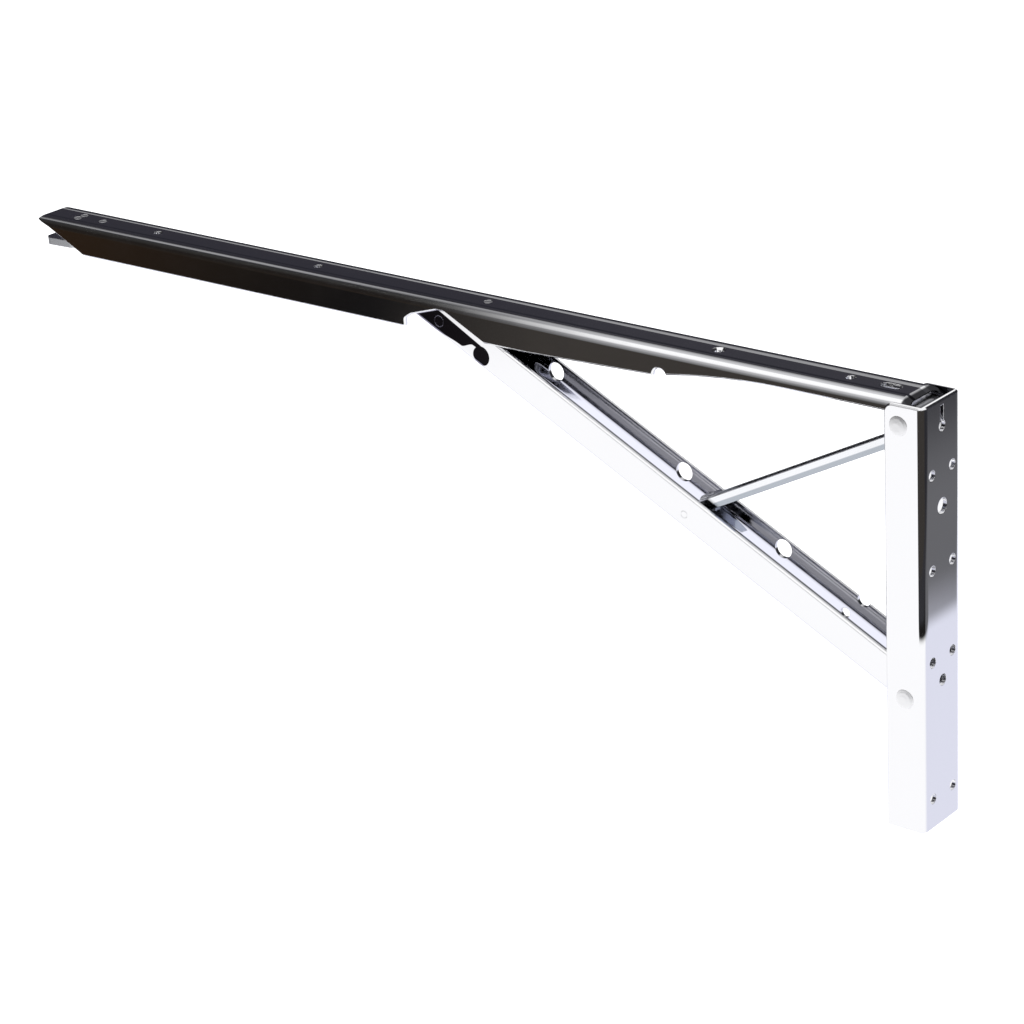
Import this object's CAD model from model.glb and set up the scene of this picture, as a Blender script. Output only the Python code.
"""Looks of the folding shelf bracket: finishes, pressed details, studio light and camera.

Everything is in metres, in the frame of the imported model: +X away from the wall, +Z up and the
origin in the middle of the wall plate's back face.
"""

from __future__ import annotations

import logging
import math
from dataclasses import dataclass, field
from enum import Enum

import bmesh
import bpy
from mathutils import Matrix, Vector

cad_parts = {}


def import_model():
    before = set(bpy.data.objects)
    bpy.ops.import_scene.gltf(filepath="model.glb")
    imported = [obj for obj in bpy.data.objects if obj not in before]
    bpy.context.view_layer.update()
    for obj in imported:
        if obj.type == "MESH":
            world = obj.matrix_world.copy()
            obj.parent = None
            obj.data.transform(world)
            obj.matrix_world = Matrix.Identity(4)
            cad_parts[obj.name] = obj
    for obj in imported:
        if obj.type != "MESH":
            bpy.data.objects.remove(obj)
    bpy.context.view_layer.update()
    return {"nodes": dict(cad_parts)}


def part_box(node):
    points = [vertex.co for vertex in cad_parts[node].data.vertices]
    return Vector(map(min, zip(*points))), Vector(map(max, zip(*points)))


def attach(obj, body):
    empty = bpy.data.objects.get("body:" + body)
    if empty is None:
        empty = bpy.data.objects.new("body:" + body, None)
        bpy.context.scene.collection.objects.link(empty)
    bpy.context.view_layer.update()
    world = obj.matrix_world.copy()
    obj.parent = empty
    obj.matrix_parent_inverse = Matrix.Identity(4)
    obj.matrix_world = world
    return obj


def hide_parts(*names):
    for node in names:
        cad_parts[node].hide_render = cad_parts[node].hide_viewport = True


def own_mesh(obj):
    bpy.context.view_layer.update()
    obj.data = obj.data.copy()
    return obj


log = logging.getLogger("shelf_bracket")

Triple = tuple[float, float, float]
Colour = Triple
Stops = tuple[tuple[float, Colour], ...]
OUT: Triple = (1.0, 0.0, 0.0)
ACROSS: Triple = (0.0, 1.0, 0.0)
UP: Triple = (0.0, 0.0, 1.0)


class Polish(Enum):
    """How far a steel surface is worked up."""

    MIRROR = 0.055
    BRIGHT = 0.13
    SATIN = 0.30

    @property
    def roughness(self) -> float:
        """Roughness that the polish leaves."""
        return self.value


class SocketKind(Enum):
    """Socket types of the shared node groups."""

    NUMBER = "NodeSocketFloat"
    VECTOR = "NodeSocketVector"
    COLOUR = "NodeSocketColor"


class NodeSheet:
    """A node tree with short calls for adding and wiring nodes."""

    def __init__(self, tree: bpy.types.NodeTree) -> None:
        """Wrap a tree.

        Args:
            tree: The node tree to write into.
        """
        self.tree = tree

    def add(self, kind: str, **settings: object) -> bpy.types.Node:
        """Add a node.

        Args:
            kind: Blender's node type, without its ShaderNode prefix.
            settings: Attributes to set on the node.

        Returns:
            The new node.
        """
        node = self.tree.nodes.new("ShaderNode" + kind)
        for name, value in settings.items():
            setattr(node, name, value)
        return node

    def wire(self, source: object, target: bpy.types.NodeSocket) -> None:
        """Feed a socket from another socket or a plain value.

        Args:
            source: An output socket, a number or a tuple of numbers.
            target: The input socket.
        """
        if isinstance(source, bpy.types.NodeSocket):
            self.tree.links.new(source, target)
        else:
            target.default_value = source

    def maths(self, operation: str, *values: object) -> bpy.types.NodeSocket:
        """Combine numbers.

        Args:
            operation: Name of the Math node's operation.
            values: Sockets or numbers.

        Returns:
            The result's socket.
        """
        node = self.add("Math", operation=operation)
        for value, socket in zip(values, node.inputs):
            self.wire(value, socket)
        return node.outputs[0]

    def vectors(self, operation: str, *values: object) -> bpy.types.NodeSocket:
        """Combine vectors.

        Args:
            operation: Name of the Vector Math node's operation.
            values: Sockets or tuples.

        Returns:
            The result's socket.
        """
        node = self.add("VectorMath", operation=operation)
        for value, socket in zip(values, node.inputs):
            self.wire(value, socket)
        return node.outputs["Value" if operation == "DOT_PRODUCT" else "Vector"]

    def span(
        self, value: object, low: object, high: object, start: float = 0.0, end: float = 1.0
    ) -> bpy.types.NodeSocket:
        """Turn one range of a number smoothly into another.

        Args:
            value: The socket or number to read.
            low: Where the range begins.
            high: Where it ends.
            start: The result at low.
            end: The result at high.

        Returns:
            The result's socket.
        """
        node = self.add("MapRange", interpolation_type="SMOOTHSTEP")
        names = ("Value", "From Min", "From Max", "To Min", "To Max")
        for name, number in zip(names, (value, low, high, start, end)):
            self.wire(number, node.inputs[name])
        return node.outputs["Result"]

    def blend(self, factor: object, first: object, second: object) -> bpy.types.NodeSocket:
        """Mix two colours.

        Args:
            factor: 0 for the first colour, 1 for the second.
            first: Socket or colour.
            second: Socket or colour.

        Returns:
            The mixed colour's socket.
        """
        node = self.add("Mix", data_type="RGBA")
        sockets = (node.inputs["Factor"], node.inputs[6], node.inputs[7])
        for value, socket in zip((factor, first, second), sockets):
            self.wire((*value, 1.0) if isinstance(value, tuple) else value, socket)
        return node.outputs[2]

    def ramp(self, value: object, stops: Stops) -> bpy.types.NodeSocket:
        """Look a number up in a colour ramp.

        Args:
            value: Socket with numbers from 0 to 1.
            stops: Places and colours along the ramp.

        Returns:
            The colour's socket.
        """
        node = self.add("ValToRGB")
        elements = node.color_ramp.elements
        while len(elements) < len(stops):
            elements.new(0.5)
        for element, (place, colour) in zip(elements, stops):
            element.position = place
            element.color = (*colour, 1.0)
        self.wire(value, node.inputs["Fac"])
        return node.outputs["Color"]


class SteelEffects:
    """Node groups that the steel finishes share, each built once."""

    line_detail = 3.0
    line_height = 0.12
    wave_scale = 55.0
    wave_detail = 1.0
    smudge_scale = 38.0
    smudge_detail = 4.0
    smudge_span = (0.45, 0.75)
    hair_stretch = (90.0, 900.0, 1400.0)
    hair_detail = 2.0
    hair_span = (0.62, 0.72)
    lean_fade = 0.15

    def __init__(self) -> None:
        """Build the groups."""
        self.grain = self._rolled_grain()
        self.handling = self._handling_marks()
        self.lean = self._sheet_lean()

    @staticmethod
    def _group(
        name: str, inputs: dict[str, SocketKind], outputs: dict[str, SocketKind]
    ) -> tuple[NodeSheet, bpy.types.Node, bpy.types.Node]:
        """Start a node group.

        Args:
            name: The group's name.
            inputs: Input names and their kinds.
            outputs: Output names and their kinds.

        Returns:
            The sheet to write on, the group's input node and its output node.
        """
        tree = bpy.data.node_groups.new(name, "ShaderNodeTree")
        for title, kind in inputs.items():
            tree.interface.new_socket(title, in_out="INPUT", socket_type=kind.value)
        for title, kind in outputs.items():
            tree.interface.new_socket(title, in_out="OUTPUT", socket_type=kind.value)
        return NodeSheet(tree), tree.nodes.new("NodeGroupInput"), tree.nodes.new("NodeGroupOutput")

    def _rolled_grain(self) -> bpy.types.NodeTree:
        """Fine lines that rolling leaves along a sheet, with shallow waves.

        Returns:
            The group, which puts out a height.
        """
        kinds = {
            "Stretch": SocketKind.VECTOR,
            "Fineness": SocketKind.NUMBER,
            "Waviness": SocketKind.NUMBER,
        }
        sheet, given, result = self._group("rolled_grain", kinds, {"Height": SocketKind.NUMBER})
        place = sheet.add("TexCoord").outputs["Object"]
        stretched = sheet.vectors("MULTIPLY", place, given.outputs["Stretch"])
        lines = sheet.add("TexNoise")
        sheet.wire(stretched, lines.inputs["Vector"])
        sheet.wire(given.outputs["Fineness"], lines.inputs["Scale"])
        lines.inputs["Detail"].default_value = self.line_detail
        waves = sheet.add("TexNoise")
        sheet.wire(place, waves.inputs["Vector"])
        waves.inputs["Scale"].default_value = self.wave_scale
        waves.inputs["Detail"].default_value = self.wave_detail
        soft = sheet.maths("MULTIPLY", waves.outputs["Fac"], given.outputs["Waviness"])
        height = sheet.maths("MULTIPLY_ADD", lines.outputs["Fac"], self.line_height, soft)
        sheet.wire(height, result.inputs["Height"])
        return sheet.tree

    def _handling_marks(self) -> bpy.types.NodeTree:
        """Smudges and hair scratches that dull a polish in places.

        Returns:
            The group, which puts out a roughness.
        """
        kinds = {
            "Clean": SocketKind.NUMBER,
            "Dull": SocketKind.NUMBER,
            "Scratches": SocketKind.NUMBER,
        }
        sheet, given, result = self._group("handling_marks", kinds, {"Roughness": SocketKind.NUMBER})
        place = sheet.add("TexCoord").outputs["Object"]
        smudge = sheet.add("TexNoise")
        sheet.wire(place, smudge.inputs["Vector"])
        smudge.inputs["Scale"].default_value = self.smudge_scale
        smudge.inputs["Detail"].default_value = self.smudge_detail
        hair = sheet.add("TexNoise")
        sheet.wire(sheet.vectors("MULTIPLY", place, self.hair_stretch), hair.inputs["Vector"])
        hair.inputs["Scale"].default_value = 1.0
        hair.inputs["Detail"].default_value = self.hair_detail
        patch = sheet.span(smudge.outputs["Fac"], *self.smudge_span)
        hairs = sheet.span(hair.outputs["Fac"], *self.hair_span)
        scratch = sheet.maths("MULTIPLY", hairs, given.outputs["Scratches"])
        gap = sheet.maths("SUBTRACT", given.outputs["Dull"], given.outputs["Clean"])
        rough = sheet.maths("MULTIPLY_ADD", patch, gap, given.outputs["Clean"])
        sheet.wire(sheet.maths("ADD", rough, scratch), result.inputs["Roughness"])
        return sheet.tree

    def _sheet_lean(self) -> bpy.types.NodeTree:
        """The slight splay and bow that folding leaves in a flat side.

        Returns:
            The group, which puts out a normal.
        """
        kinds = {
            "Start": SocketKind.VECTOR,
            "Facing": SocketKind.VECTOR,
            "Towards": SocketKind.VECTOR,
            "Grip": SocketKind.NUMBER,
            "Amount": SocketKind.NUMBER,
        }
        sheet, given, result = self._group("sheet_lean", kinds, {"Normal": SocketKind.VECTOR})
        own = sheet.add("TexCoord").outputs["Normal"]
        facing = sheet.maths("ABSOLUTE", sheet.vectors("DOT_PRODUCT", own, given.outputs["Facing"]))
        full = sheet.maths("ADD", given.outputs["Grip"], self.lean_fade)
        gripped = sheet.span(facing, given.outputs["Grip"], full)
        share = sheet.maths("MULTIPLY", gripped, given.outputs["Amount"])
        scaled = sheet.add("VectorMath", operation="SCALE")
        sheet.wire(given.outputs["Towards"], scaled.inputs[0])
        sheet.wire(share, scaled.inputs["Scale"])
        turned = sheet.add("VectorTransform", vector_type="VECTOR")
        turned.convert_from, turned.convert_to = "OBJECT", "WORLD"
        sheet.wire(scaled.outputs["Vector"], turned.inputs[0])
        bent = sheet.vectors("ADD", given.outputs["Start"], turned.outputs[0])
        sheet.wire(sheet.vectors("NORMALIZE", bent), result.inputs["Normal"])
        return sheet.tree


@dataclass(frozen=True)
class Lean:
    """How a flat side is bowed: which faces turn, and towards where."""

    facing: Triple = ACROSS
    towards: Triple = UP
    grip: float = 0.83


@dataclass(frozen=True)
class SteelFinish:
    """A polished or satin steel surface."""

    name: str
    slot: str
    colour: Colour
    polish: Polish
    dulling: float = 0.05
    scratches: float = 0.03
    stretch: Triple = (12.0, 420.0, 420.0)
    fineness: float = 1.0
    waviness: float = 0.25
    relief: float = 0.06
    grain_height: float = 0.0004
    edge: float = 0.00035
    edge_samples: int = 6
    leans: tuple[Lean, ...] = (Lean(),)

    def build(self, effects: SteelEffects) -> bpy.types.Material:
        """Make the material.

        Args:
            effects: The shared node groups.

        Returns:
            The finished material.
        """
        material = bpy.data.materials.new(self.name)
        material.use_nodes = True
        material.node_tree.nodes.clear()
        sheet = NodeSheet(material.node_tree)
        shader = sheet.add("BsdfPrincipled")
        shader.inputs["Metallic"].default_value = 1.0
        place = sheet.add("TexCoord").outputs["Object"]
        sheet.wire(self._tone(sheet, place), shader.inputs["Base Color"])
        clean = self.polish.roughness
        marks = self._place(sheet, effects.handling, Clean=clean, Dull=clean + self.dulling)
        marks.inputs["Scratches"].default_value = self.scratches
        sheet.wire(marks.outputs["Roughness"], shader.inputs["Roughness"])
        strokes = {"Stretch": self.stretch, "Fineness": self.fineness, "Waviness": self.waviness}
        grain = self._place(sheet, effects.grain, **strokes)
        bump = sheet.add("Bump")
        bump.inputs["Strength"].default_value = self.relief
        bump.inputs["Distance"].default_value = self.grain_height
        sheet.wire(grain.outputs["Height"], bump.inputs["Height"])
        bowed = self._bowed_normal(sheet, effects)
        sheet.wire(self._pressed_normal(sheet, bowed), bump.inputs["Normal"])
        sheet.wire(bump.outputs["Normal"], shader.inputs["Normal"])
        output = sheet.add("OutputMaterial")
        sheet.wire(shader.outputs["BSDF"], output.inputs["Surface"])
        return material

    @staticmethod
    def _place(sheet: NodeSheet, group: bpy.types.NodeTree, **values: object) -> bpy.types.Node:
        """Place a shared group in a material.

        Args:
            sheet: The material's sheet.
            group: The group to place.
            values: Values of its inputs.

        Returns:
            The group node.
        """
        node = sheet.add("Group", node_tree=group)
        for title, value in values.items():
            node.inputs[title].default_value = value
        return node

    def _bowed_normal(self, sheet: NodeSheet, effects: SteelEffects) -> bpy.types.NodeSocket:
        """Normal of the bowed sheet, with its edges eased.

        Args:
            sheet: The material's sheet.
            effects: The shared node groups.

        Returns:
            The normal's socket.
        """
        place = sheet.add("TexCoord").outputs["Object"]
        normal = sheet.add("NewGeometry").outputs["Normal"]
        for lean, amount in zip(self.leans, self._lean_amounts(sheet, place)):
            values = {"Facing": lean.facing, "Towards": lean.towards, "Grip": lean.grip}
            group = self._place(sheet, effects.lean, **values)
            sheet.wire(normal, group.inputs["Start"])
            sheet.wire(amount, group.inputs["Amount"])
            normal = group.outputs["Normal"]
        eased = sheet.add("Bevel", samples=self.edge_samples)
        eased.inputs["Radius"].default_value = self.edge
        sheet.wire(normal, eased.inputs["Normal"])
        return eased.outputs["Normal"]

    def _lean_amounts(self, sheet: NodeSheet, place: bpy.types.NodeSocket) -> tuple[object, ...]:
        """How far each bowed side turns at a place.

        Args:
            sheet: The material's sheet.
            place: The place in the piece's own frame.

        Returns:
            A number or socket for each lean; flat here.
        """
        return (0.0,) * len(self.leans)

    def _tone(self, sheet: NodeSheet, place: bpy.types.NodeSocket) -> object:
        """Colour of the steel at a place.

        Args:
            sheet: The material's sheet.
            place: The place in the piece's own frame.

        Returns:
            A colour or its socket; the same all over here.
        """
        return (*self.colour, 1.0)

    def _pressed_normal(self, sheet: NodeSheet, normal: bpy.types.NodeSocket) -> bpy.types.NodeSocket:
        """Normal after shallow pressed shapes are added.

        Args:
            sheet: The material's sheet.
            normal: The normal before them.

        Returns:
            The normal's socket; unchanged here.
        """
        return normal


@dataclass(frozen=True)
class PlateFinish(SteelFinish):
    """Wall plate: its back bows above the middle."""

    bow: float = 0.20
    bow_low: float = -0.0200
    bow_high: float = 0.0060
    top_bow: float = 0.06
    top: float = 0.0925
    rim_lean: float = 1.0
    mouth: tuple[float, float] = (0.070, 0.084)
    back_face: tuple[float, float] = (0.0014, 0.0019)
    side_face: tuple[float, float] = (0.0128, 0.0123)
    inner_tone: Colour = (0.06, 0.06, 0.07)

    def _lean_amounts(self, sheet: NodeSheet, place: bpy.types.NodeSocket) -> tuple[object, ...]:
        """Bow that sets in above the plate's middle and grows to the top, and the eased end rims.

        Args:
            sheet: The material's sheet.
            place: The place in the piece's own frame.

        Returns:
            The bow's socket and the rims' amount.
        """
        height = sheet.vectors("DOT_PRODUCT", place, UP)
        lower = sheet.span(height, self.bow_low, self.bow_high, 0.0, self.bow)
        upper = sheet.span(height, self.bow_high, self.top, 0.0, self.top_bow)
        return sheet.maths("ADD", lower, upper), self.rim_lean

    def _tone(self, sheet: NodeSheet, place: bpy.types.NodeSocket) -> object:
        """Darker steel inside the plate's upper mouth.

        Args:
            sheet: The material's sheet.
            place: The place in the piece's own frame.

        Returns:
            The colour's socket.
        """
        out = sheet.vectors("DOT_PRODUCT", place, OUT)
        across = sheet.maths("ABSOLUTE", sheet.vectors("DOT_PRODUCT", place, ACROSS))
        height = sheet.vectors("DOT_PRODUCT", place, UP)
        before_back = sheet.span(out, *self.back_face)
        inside = sheet.maths("MULTIPLY", before_back, sheet.span(across, *self.side_face))
        mouth = sheet.maths("MULTIPLY", inside, sheet.span(height, *self.mouth))
        return sheet.blend(mouth, self.colour, self.inner_tone)


@dataclass(frozen=True)
class ArmFinish(SteelFinish):
    """Supporting arm: its sides splay, and its top has a shallow pressed band between two beads."""

    splay: float = 0.25
    band_half: float = 0.0042
    bead_start: float = 0.0062
    band_depth: float = 0.00032
    bead_from: tuple[float, float] = (0.0036, 0.0051)
    bead_to: float = 0.0067
    bead_lean: tuple[float, float] = (0.158, 0.268)
    bead_run: tuple[float, float] = (0.05, 0.35)
    lean_run: tuple[float, float] = (0.0, 0.5)
    soft: float = 0.0002
    crown_flat: float = 0.006
    crown_radius: float = 0.012
    root: tuple[float, float] = (0.0110, 0.0120)
    root_tone: Colour = (0.045, 0.045, 0.050)

    def _lean_amounts(self, sheet: NodeSheet, place: bpy.types.NodeSocket) -> tuple[object, ...]:
        """Splay, the same all along, and the bead along the top's far edge.

        Args:
            sheet: The material's sheet.
            place: The place in the piece's own frame.

        Returns:
            Both amounts.
        """
        out = sheet.vectors("DOT_PRODUCT", place, OUT)
        far = sheet.vectors("DOT_PRODUCT", place, (0.0, -1.0, 0.0))
        start = sheet.span(out, *self.bead_run, *self.bead_from)
        inner = sheet.span(sheet.maths("SUBTRACT", far, start), -self.soft, self.soft)
        outer = sheet.span(far, self.bead_to, self.bead_to - self.soft)
        mask = sheet.maths("MULTIPLY", inner, outer)
        curl = sheet.maths("MAXIMUM", sheet.maths("SUBTRACT", far, self.crown_flat), 0.0)
        flat = sheet.span(out, *self.lean_run, *self.bead_lean)
        turn = sheet.maths("MULTIPLY_ADD", curl, 1.0 / self.crown_radius, flat)
        return self.splay, sheet.maths("MULTIPLY", mask, turn)

    def _tone(self, sheet: NodeSheet, place: bpy.types.NodeSocket) -> object:
        """Darker steel on the lip at the root.

        Args:
            sheet: The material's sheet.
            place: The place in the piece's own frame.

        Returns:
            The colour's socket.
        """
        out = sheet.vectors("DOT_PRODUCT", place, OUT)
        return sheet.blend(sheet.span(out, *self.root), self.root_tone, self.colour)

    def _pressed_normal(self, sheet: NodeSheet, normal: bpy.types.NodeSocket) -> bpy.types.NodeSocket:
        """Normal with the pressed band along the top.

        Args:
            sheet: The material's sheet.
            normal: The normal before it.

        Returns:
            The normal's socket.
        """
        place = sheet.add("TexCoord").outputs["Object"]
        side = sheet.vectors("DOT_PRODUCT", place, ACROSS)
        band = sheet.add("Bump")
        band.inputs["Strength"].default_value = 1.0
        band.inputs["Distance"].default_value = 1.0
        height = sheet.span(side, self.band_half, self.bead_start, 0.0, self.band_depth)
        sheet.wire(height, band.inputs["Height"])
        sheet.wire(normal, band.inputs["Normal"])
        return band.outputs["Normal"]


@dataclass(frozen=True)
class StrutFinish(SteelFinish):
    """Diagonal strut: pressed in at the arm, and rounded into its web on the far side."""

    pivot: Triple = (0.0091, 0.0, -0.0332)
    angle: float = 26.15
    entry_lean: float = 0.26
    entry_start: float = 0.2395
    entry_rim: float = 0.0034
    rim_slope: float = 0.04
    drop_run: tuple[float, float] = (0.2462, 0.2520)
    drop_rise: tuple[float, float] = (0.0015, -0.0027)
    foot_run: tuple[float, float] = (0.2520, 0.2680)
    foot_rise: tuple[float, float] = (0.0, -0.0022)
    near_side: tuple[float, float] = (0.0085, 0.0095)
    dimple: tuple[float, float] = (0.2406, -0.0006)
    dimple_radius: float = 0.0044
    entry_tone: Colour = (0.22, 0.21, 0.27)
    inner_tone: Colour = (0.52, 0.52, 0.56)
    inner_end_tone: Colour = (0.36, 0.36, 0.40)
    trough_tone: Colour = (0.72, 0.73, 0.83)
    trough_end: float = 0.232
    trough_lean: float = 0.95
    trough_fade: float = 0.012
    trough_low: tuple[float, float] = (-0.0042, -0.0022)
    trough_high: tuple[float, float] = (0.0044, 0.0004)
    far_side: tuple[float, float] = (-0.0058, -0.0070)
    inward: tuple[float, float] = (0.50, 0.90)
    inner_run: tuple[float, float] = (0.12, 0.25)
    soft: float = 0.00025

    def _along_and_up(
        self, sheet: NodeSheet, place: bpy.types.NodeSocket
    ) -> tuple[bpy.types.NodeSocket, bpy.types.NodeSocket]:
        """Reach along the strut from its pivot, and rise across it.

        Args:
            sheet: The material's sheet.
            place: The place in the piece's own frame.

        Returns:
            Sockets of the reach and the rise.
        """
        turn = math.radians(self.angle)
        local = sheet.vectors("SUBTRACT", place, self.pivot)
        reach = sheet.vectors("DOT_PRODUCT", local, (math.cos(turn), 0.0, math.sin(turn)))
        rise = sheet.vectors("DOT_PRODUCT", local, (-math.sin(turn), 0.0, math.cos(turn)))
        return reach, rise

    def _entry(self, sheet: NodeSheet, place: bpy.types.NodeSocket) -> bpy.types.NodeSocket:
        """Where the near side is pressed in to enter the arm.

        Args:
            sheet: The material's sheet.
            place: The place in the piece's own frame.

        Returns:
            Socket that is 1 inside the pressed place.
        """
        reach, rise = self._along_and_up(sheet, place)
        drop = sheet.span(reach, *self.drop_run, *self.drop_rise)
        foot = sheet.maths("ADD", drop, sheet.span(reach, *self.foot_run, *self.foot_rise))
        above = sheet.span(sheet.maths("SUBTRACT", rise, foot), -self.soft, self.soft)
        rim_at_pivot = self.entry_rim - self.rim_slope * self.entry_start
        rim = sheet.maths("MULTIPLY_ADD", reach, self.rim_slope, rim_at_pivot)
        under = sheet.span(sheet.maths("SUBTRACT", rim, rise), -self.soft, self.soft)
        inside = sheet.span(reach, self.entry_start, self.entry_start + 2 * self.soft)
        band = sheet.maths("MULTIPLY", sheet.maths("MULTIPLY", above, under), inside)
        offset = sheet.add("CombineXYZ")
        sheet.wire(sheet.maths("SUBTRACT", reach, self.dimple[0]), offset.inputs[0])
        sheet.wire(sheet.maths("SUBTRACT", rise, self.dimple[1]), offset.inputs[1])
        distance = sheet.add("VectorMath", operation="LENGTH")
        sheet.wire(offset.outputs[0], distance.inputs[0])
        edge = self.dimple_radius
        lobe = sheet.span(distance.outputs["Value"], edge - self.soft, edge + self.soft, 1.0, 0.0)
        across = sheet.vectors("DOT_PRODUCT", place, ACROSS)
        outside = sheet.span(across, *self.near_side)
        return sheet.maths("MULTIPLY", sheet.maths("MAXIMUM", band, lobe), outside)

    def _lean_amounts(self, sheet: NodeSheet, place: bpy.types.NodeSocket) -> tuple[object, ...]:
        """Lean of the pressed entry and of the trough along the far side's root.

        Args:
            sheet: The material's sheet.
            place: The place in the piece's own frame.

        Returns:
            Sockets of both amounts.
        """
        entry = sheet.maths("MULTIPLY", self._entry(sheet, place), self.entry_lean)
        return entry, sheet.maths("MULTIPLY", self._trough(sheet, place), self.trough_lean)

    def _inner(self, sheet: NodeSheet, place: bpy.types.NodeSocket) -> bpy.types.NodeSocket:
        """Where the far side faces into the channel.

        Args:
            sheet: The material's sheet.
            place: The place in the piece's own frame.

        Returns:
            Socket that is 1 on the inner face.
        """
        across = sheet.vectors("DOT_PRODUCT", place, ACROSS)
        facing = sheet.vectors("DOT_PRODUCT", sheet.add("TexCoord").outputs["Normal"], ACROSS)
        beyond = sheet.span(across, *self.far_side)
        return sheet.maths("MULTIPLY", beyond, sheet.span(facing, *self.inward))

    def _trough(self, sheet: NodeSheet, place: bpy.types.NodeSocket) -> bpy.types.NodeSocket:
        """Where the far side's root is pressed into a shallow trough.

        Args:
            sheet: The material's sheet.
            place: The place in the piece's own frame.

        Returns:
            Socket that is 1 in the middle of the trough.
        """
        reach, rise = self._along_and_up(sheet, place)
        low = sheet.span(rise, *self.trough_low)
        high = sheet.span(rise, *self.trough_high)
        end = sheet.span(reach, self.trough_end, self.trough_end - self.trough_fade)
        trough = sheet.maths("MULTIPLY", sheet.maths("MULTIPLY", low, high), end)
        return sheet.maths("MULTIPLY", trough, self._inner(sheet, place))

    def _tone(self, sheet: NodeSheet, place: bpy.types.NodeSocket) -> object:
        """Darker steel in the pressed entry and on the far side's inner face.

        Args:
            sheet: The material's sheet.
            place: The place in the piece's own frame.

        Returns:
            The colour's socket.
        """
        reach, _ = self._along_and_up(sheet, place)
        deeper = sheet.span(reach, *self.inner_run)
        shade = sheet.blend(deeper, self.inner_tone, self.inner_end_tone)
        toned = sheet.blend(self._inner(sheet, place), self.colour, shade)
        washed = sheet.blend(self._trough(sheet, place), toned, self.trough_tone)
        return sheet.blend(self._entry(sheet, place), washed, self.entry_tone)


@dataclass(frozen=True)
class LinkFinish(SteelFinish):
    """Tie link: its sides are duller below a narrow bright rim."""

    across: Triple = (0.4587, 0.0, 0.8886)
    rim: float = 0.0738
    soft: float = 0.0003
    side_tone: Colour = (0.40, 0.43, 0.47)

    def _tone(self, sheet: NodeSheet, place: bpy.types.NodeSocket) -> object:
        """Bright rim over duller sides.

        Args:
            sheet: The material's sheet.
            place: The place in the piece's own frame.

        Returns:
            The colour's socket.
        """
        height = sheet.vectors("DOT_PRODUCT", place, self.across)
        low, high = self.rim - self.soft, self.rim + self.soft
        return sheet.blend(sheet.span(height, low, high), self.side_tone, self.colour)


@dataclass(frozen=True)
class HeadFinish(SteelFinish):
    """Low rivet heads on the sides: pressed nearly flat, with a soft rim."""

    press: float = 7.0
    middle: float = 0.001

    def _lean_amounts(self, sheet: NodeSheet, place: bpy.types.NodeSocket) -> tuple[object, ...]:
        """Flatten each head towards its own side.

        Args:
            sheet: The material's sheet.
            place: The place in the piece's own frame.

        Returns:
            The amount's socket.
        """
        across = sheet.vectors("DOT_PRODUCT", place, ACROSS)
        return (sheet.span(across, -self.middle, self.middle, -self.press, self.press),)


POLISHED = (0.80, 0.80, 0.81)
PLATE_STEEL = PlateFinish(
    "plate_steel",
    "bright_steel",
    POLISHED,
    Polish.MIRROR,
    stretch=(420.0, 420.0, 12.0),
    leans=(
        Lean(facing=OUT, grip=0.20),
        Lean(facing=UP, towards=(-0.375, 0.625, 0.0), grip=0.60),
    ),
)
ARM_STEEL = ArmFinish(
    "arm_steel",
    "bright_steel",
    POLISHED,
    Polish.MIRROR,
    leans=(Lean(), Lean(facing=UP, towards=ACROSS, grip=0.75)),
)
STRUT_STEEL = StrutFinish(
    "strut_steel",
    "bright_steel",
    POLISHED,
    Polish.MIRROR,
    leans=(Lean(), Lean(towards=(-0.4407, 0.0, 0.8976), grip=0.40)),
)
LINK_STEEL = LinkFinish("link_steel", "bright_steel", (0.80, 0.81, 0.83), Polish.BRIGHT)
LEVER_STEEL = SteelFinish("lever_steel", "bright_steel", (0.74, 0.75, 0.78), Polish.BRIGHT)
RIVET_STEEL = SteelFinish(
    "rivet_steel",
    "pin_steel",
    POLISHED,
    Polish.SATIN,
    stretch=(200.0, 200.0, 200.0),
)
HEAD_STEEL = HeadFinish(
    "head_steel",
    "pin_steel",
    (0.84, 0.84, 0.85),
    Polish.SATIN,
    stretch=(200.0, 200.0, 200.0),
    leans=(Lean(towards=ACROSS, grip=0.10),),
)
FITTING_STEEL = SteelFinish(
    "fitting_steel",
    "fitting_steel",
    (0.62, 0.63, 0.65),
    Polish.SATIN,
    dulling=0.08,
)
SPRING_STEEL = SteelFinish("spring_steel", "spring_steel", (0.42, 0.43, 0.47), Polish.SATIN)


@dataclass
class Dressing:
    """Gives each node of the bracket its finish."""

    effects: SteelEffects
    nodes: dict[str, bpy.types.Object]
    finishes: dict[SteelFinish, tuple[str, ...]] = field(
        default_factory=lambda: {
            PLATE_STEEL: ("wall_plate",),
            ARM_STEEL: ("support_arm",),
            STRUT_STEEL: ("diagonal_strut", "latch_stud_left", "latch_stud_right", "link_pin"),
            LINK_STEEL: ("tie_link",),
            LEVER_STEEL: ("release_lever", "lever_claw"),
            HEAD_STEEL: ("arm_pivot_rivet", "strut_pivot_rivet"),
            RIVET_STEEL: (
                "lever_bracket_rivet",
                "lever_guide_rivet",
                "lever_spring_rivets",
                "lever_pin",
            ),
            FITTING_STEEL: (
                "arm_pivot_sleeve",
                "strut_pivot_sleeve",
                "strut_spacer_left",
                "strut_spacer_right",
                "link_spacer_left",
                "link_spacer_right",
                "lever_bracket",
                "lever_guide",
            ),
            SPRING_STEEL: ("lever_spring",),
        }
    )

    def dress(self) -> None:
        """Build each finish and put it on its nodes."""
        for finish, names in self.finishes.items():
            material = finish.build(self.effects)
            for name in names:
                for slot in self.nodes[name].material_slots:
                    slot.material = material
                log.info("%s wears %s", name, finish.name)


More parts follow.
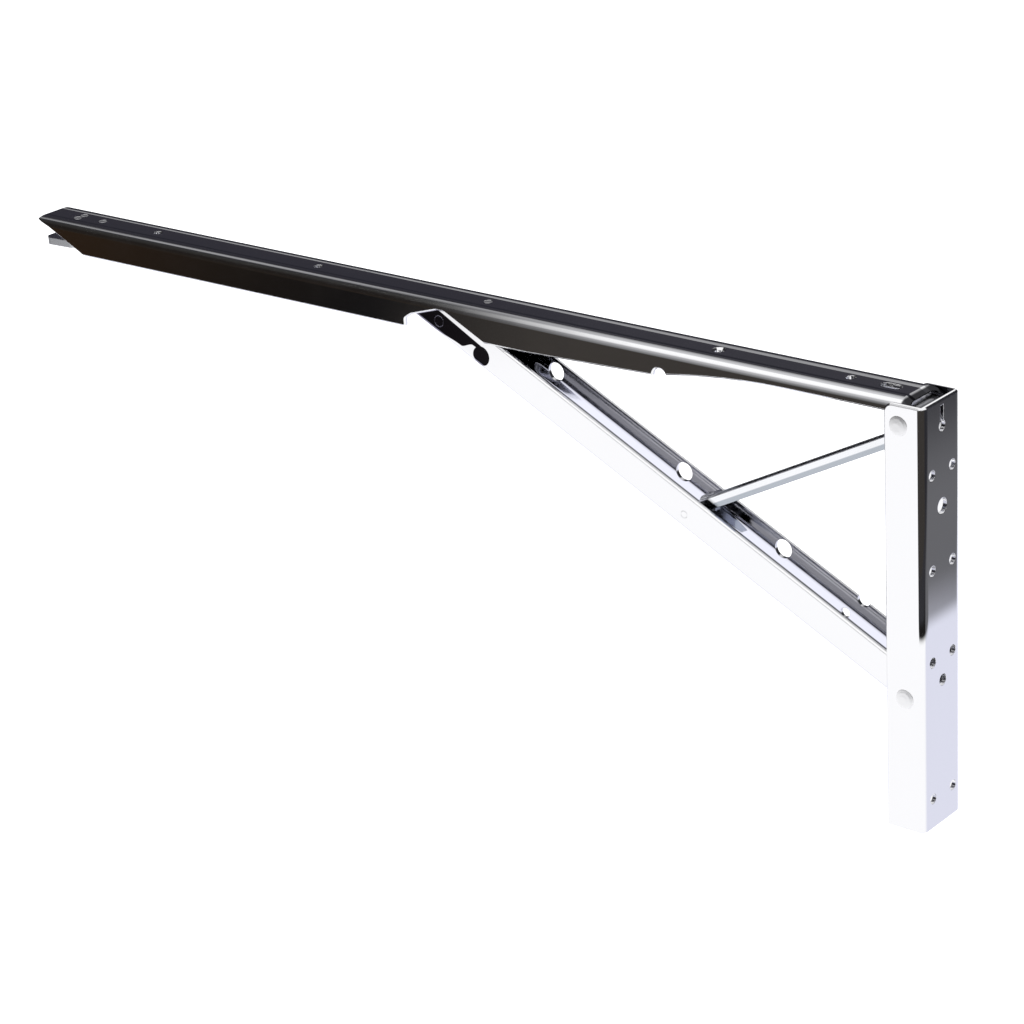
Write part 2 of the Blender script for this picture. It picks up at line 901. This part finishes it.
@dataclass(frozen=True)
class LeafSpring:
    """The lever's leaf spring, which flattens against the arm's top as the lever is pressed."""

    name: str = "spring_leaf"
    node: str = "lever_spring"
    body: str = "arm"
    joint: str = "lever_press"
    seat_height: float = 0.0919
    pressed_share: float = 0.16

    def build(self, nodes: dict[str, bpy.types.Object]) -> bpy.types.Object:
        """Put a leaf that can flatten in the place of the rigid one.

        Args:
            nodes: The objects of the CAD nodes, by name, already in their finishes.

        Returns:
            The leaf, in the finish of the node that it stands for.
        """
        rigid = nodes[self.node]
        leaf = bpy.data.objects.new(self.name, rigid.data.copy())
        bpy.context.scene.collection.objects.link(leaf)
        for mine, given in zip(leaf.material_slots, rigid.material_slots):
            mine.material = given.material
        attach(leaf, self.body)
        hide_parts(self.node)
        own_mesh(leaf)
        return leaf


@dataclass
class Studio:
    """Pale floor, soft lamps, and the bright and dark cards that polished steel mirrors.

    The cards are set by direction: how high a mirrored ray points, whether it goes to the near side
    or the far side, and how far it runs out from the wall.
    """

    floor_drop: float = 0.30
    floor_half: float = 30.0
    paper_from: float = 1.4
    paper_to: float = 2.3
    room_from: float = 3.0
    room_to: float = 9.0
    lamp_power: float = 30.0
    lamp_aim: Triple = (0.2, 0.0, 0.0)
    lamps: tuple[tuple[str, Triple, float], ...] = (
        ("key_lamp", (-0.9, 1.2, 1.6), 1.6),
        ("fill_lamp", (1.4, -0.6, 1.5), 1.8),
    )
    floor_tone: Colour = (0.90, 0.90, 0.90)
    floor_lift: float = 0.30
    floor_split: float = 0.25
    far_paper: Colour = (0.71, 0.72, 0.83)
    near_paper: Colour = (0.97, 0.97, 0.98)
    far_room: Colour = (0.13, 0.13, 0.14)
    near_room: Colour = (0.012, 0.011, 0.011)
    deep_room: Colour = (0.030, 0.030, 0.035)
    low_cards: tuple[float, float] = (0.57, 0.63)
    card_split: float = 0.06
    behind_tone: Colour = (0.022, 0.022, 0.026)
    soft_light: Colour = (0.64, 0.64, 0.66)
    glare: float = 1.25
    dark_back: tuple[float, float] = (-0.10, -0.24)
    dim_from: float = 0.635
    bright_from: float = 0.575
    far_dim: Stops = (
        (0.50, (0.018, 0.018, 0.024)),
        (0.62, (0.030, 0.029, 0.038)),
        (0.68, (0.028, 0.027, 0.035)),
        (0.755, (0.026, 0.025, 0.030)),
        (0.785, (0.34, 0.34, 0.35)),
        (0.825, (0.030, 0.030, 0.032)),
        (1.0, (0.040, 0.040, 0.040)),
    )
    far_bright: Stops = (
        (0.50, (0.020, 0.020, 0.026)),
        (0.66, (0.036, 0.035, 0.044)),
        (0.71, (0.050, 0.049, 0.058)),
        (0.75, (0.036, 0.035, 0.040)),
        (0.79, (0.34, 0.34, 0.35)),
        (0.86, (0.68, 0.68, 0.70)),
        (0.90, (1.0, 1.0, 1.0)),
    )
    near_dim: Stops = (
        (0.60, (0.024, 0.018, 0.013)),
        (0.75, (0.012, 0.010, 0.009)),
        (0.90, (0.034, 0.033, 0.032)),
    )
    near_bright: Stops = (
        (0.60, (0.045, 0.042, 0.040)),
        (0.68, (0.13, 0.13, 0.13)),
        (0.74, (0.26, 0.26, 0.27)),
        (0.82, (0.85, 0.85, 0.86)),
        (0.90, (1.0, 1.0, 1.0)),
    )
    near_low: Stops = (
        (0.52, (0.038, 0.034, 0.031)),
        (0.60, (0.044, 0.039, 0.035)),
        (0.645, (0.0060, 0.0058, 0.0062)),
        (0.68, (0.0110, 0.0085, 0.0068)),
        (0.72, (0.0220, 0.0130, 0.0075)),
    )

    def build(self) -> None:
        """Make the floor, the surroundings and the lamps."""
        self._floor()
        self._surroundings()
        self._lamps()

    def _floor(self) -> None:
        """Wide pale floor below the bracket; polished steel sees only its lit middle."""
        mesh = bpy.data.meshes.new("floor")
        bm = bmesh.new()
        bmesh.ops.create_grid(bm, x_segments=1, y_segments=1, size=self.floor_half)
        bm.to_mesh(mesh)
        bm.free()
        floor = bpy.data.objects.new("floor", mesh)
        bpy.context.scene.collection.objects.link(floor)
        floor.location.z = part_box("wall_plate")[0].z - self.floor_drop
        material = bpy.data.materials.new("floor_paper")
        material.use_nodes = True
        material.node_tree.nodes.clear()
        sheet = NodeSheet(material.node_tree)
        paths = sheet.add("LightPath")
        paper = sheet.add("BsdfDiffuse")
        paper.inputs["Color"].default_value = (*self.floor_tone, 1.0)
        mirrored = sheet.add("MixShader")
        sheet.wire(paths.outputs["Is Glossy Ray"], mirrored.inputs[0])
        sheet.wire(paper.outputs[0], mirrored.inputs[1])
        sheet.wire(self._mirrored_floor(sheet), mirrored.inputs[2])
        lift = sheet.add("Emission")
        seen = sheet.maths("MULTIPLY", paths.outputs["Is Camera Ray"], self.floor_lift)
        sheet.wire(seen, lift.inputs["Strength"])
        both = sheet.add("AddShader")
        sheet.wire(mirrored.outputs[0], both.inputs[0])
        sheet.wire(lift.outputs[0], both.inputs[1])
        output = sheet.add("OutputMaterial")
        sheet.wire(both.outputs[0], output.inputs["Surface"])
        mesh.materials.append(material)

    def _mirrored_floor(self, sheet: NodeSheet) -> bpy.types.NodeSocket:
        """What polished steel sees of the floor: lit paper in the middle, a dim room beyond.

        Args:
            sheet: The floor material's sheet.

        Returns:
            The shader's socket.
        """
        place = sheet.add("TexCoord").outputs["Object"]
        reach = sheet.add("VectorMath", operation="LENGTH")
        sheet.wire(place, reach.inputs[0])
        across = sheet.vectors("DOT_PRODUCT", place, ACROSS)
        side = sheet.span(across, -self.floor_split, self.floor_split)
        paper = sheet.blend(side, self.far_paper, self.near_paper)
        room = sheet.blend(side, self.far_room, self.near_room)
        past = sheet.span(reach.outputs["Value"], self.paper_from, self.paper_to)
        depth = sheet.span(reach.outputs["Value"], self.room_from, self.room_to)
        room = sheet.blend(depth, room, self.deep_room)
        glow = sheet.add("Emission")
        glow.inputs["Strength"].default_value = self.glare
        sheet.wire(sheet.blend(past, paper, room), glow.inputs["Color"])
        return glow.outputs[0]

    def _surroundings(self) -> None:
        """White for the eye, soft light for the floor, and cards of light and dark for the steel."""
        world = bpy.data.worlds.new("studio")
        bpy.context.scene.world = world
        world.use_nodes = True
        world.node_tree.nodes.clear()
        sheet = NodeSheet(world.node_tree)
        parts = sheet.add("SeparateXYZ")
        sheet.wire(sheet.add("TexCoord").outputs["Generated"], parts.inputs[0])
        height = sheet.maths("MULTIPLY_ADD", parts.outputs["Z"], 0.5, 0.5)
        bright = sheet.span(parts.outputs["X"], self.bright_from, self.dim_from, 1.0, 0.0)
        far, above = (
            sheet.blend(bright, sheet.ramp(height, dim), sheet.ramp(height, lit))
            for dim, lit in ((self.far_dim, self.far_bright), (self.near_dim, self.near_bright))
        )
        low = sheet.ramp(parts.outputs["X"], self.near_low)
        near = sheet.blend(sheet.span(height, *self.low_cards), low, above)
        behind = sheet.span(parts.outputs["X"], *self.dark_back)
        far = sheet.blend(behind, far, self.behind_tone)
        side = sheet.span(parts.outputs["Y"], -self.card_split, self.card_split)
        cards = sheet.blend(side, far, near)
        paths = sheet.add("LightPath")
        mirrored = sheet.blend(paths.outputs["Is Glossy Ray"], self.soft_light, cards)
        seen = 1.0 / self.glare
        colour = sheet.blend(paths.outputs["Is Camera Ray"], mirrored, (seen, seen, seen))
        background = sheet.add("Background")
        background.inputs["Strength"].default_value = self.glare
        sheet.wire(colour, background.inputs["Color"])
        output = sheet.add("OutputWorld")
        sheet.wire(background.outputs[0], output.inputs["Surface"])

    def _lamps(self) -> None:
        """Two large soft lamps from above."""
        for name, spot, size in self.lamps:
            data = bpy.data.lights.new(name, "AREA")
            data.size = size
            data.energy = self.lamp_power
            lamp = bpy.data.objects.new(name, data)
            lamp.location = spot
            aim = Vector(self.lamp_aim) - Vector(spot)
            lamp.rotation_euler = aim.to_track_quat("-Z", "Y").to_euler()
            lamp.visible_glossy = False
            bpy.context.scene.collection.objects.link(lamp)


@dataclass
class ViewPoint:
    """The camera: seen from the wall's side and a little above."""

    place: Vector = field(default_factory=lambda: Vector((-0.6053, 0.9728, 0.5230)))
    target: Vector = field(default_factory=lambda: Vector((0.2216, 0.0, -0.0031)))
    roll: float = -3.41
    lens: float = 110.0
    sensor: float = 36.0

    def build(self) -> None:
        """Make the camera and hand it to the scene."""
        data = bpy.data.cameras.new("camera")
        data.lens = self.lens
        data.sensor_width = self.sensor
        camera = bpy.data.objects.new("camera", data)
        forward = (self.target - self.place).normalized()
        right = forward.cross(Vector((0.0, 0.0, 1.0))).normalized()
        rise = right.cross(forward)
        turn = math.radians(self.roll)
        across = right * math.cos(turn) + rise * math.sin(turn)
        upward = rise * math.cos(turn) - right * math.sin(turn)
        axes = Matrix((across, upward, -forward)).transposed()
        camera.matrix_world = Matrix.Translation(self.place) @ axes.to_4x4()
        bpy.context.scene.collection.objects.link(camera)
        bpy.context.scene.camera = camera


def main() -> None:
    """Build the scene piece by piece."""
    logging.basicConfig(level=logging.INFO, format="%(name)s: %(message)s")
    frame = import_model()
    bpy.context.scene.view_settings.view_transform = "Standard"
    ViewPoint().build()
    Studio().build()
    Dressing(SteelEffects(), frame["nodes"]).dress()
    LeafSpring().build(frame["nodes"])


if __name__ == "__main__":
    main()
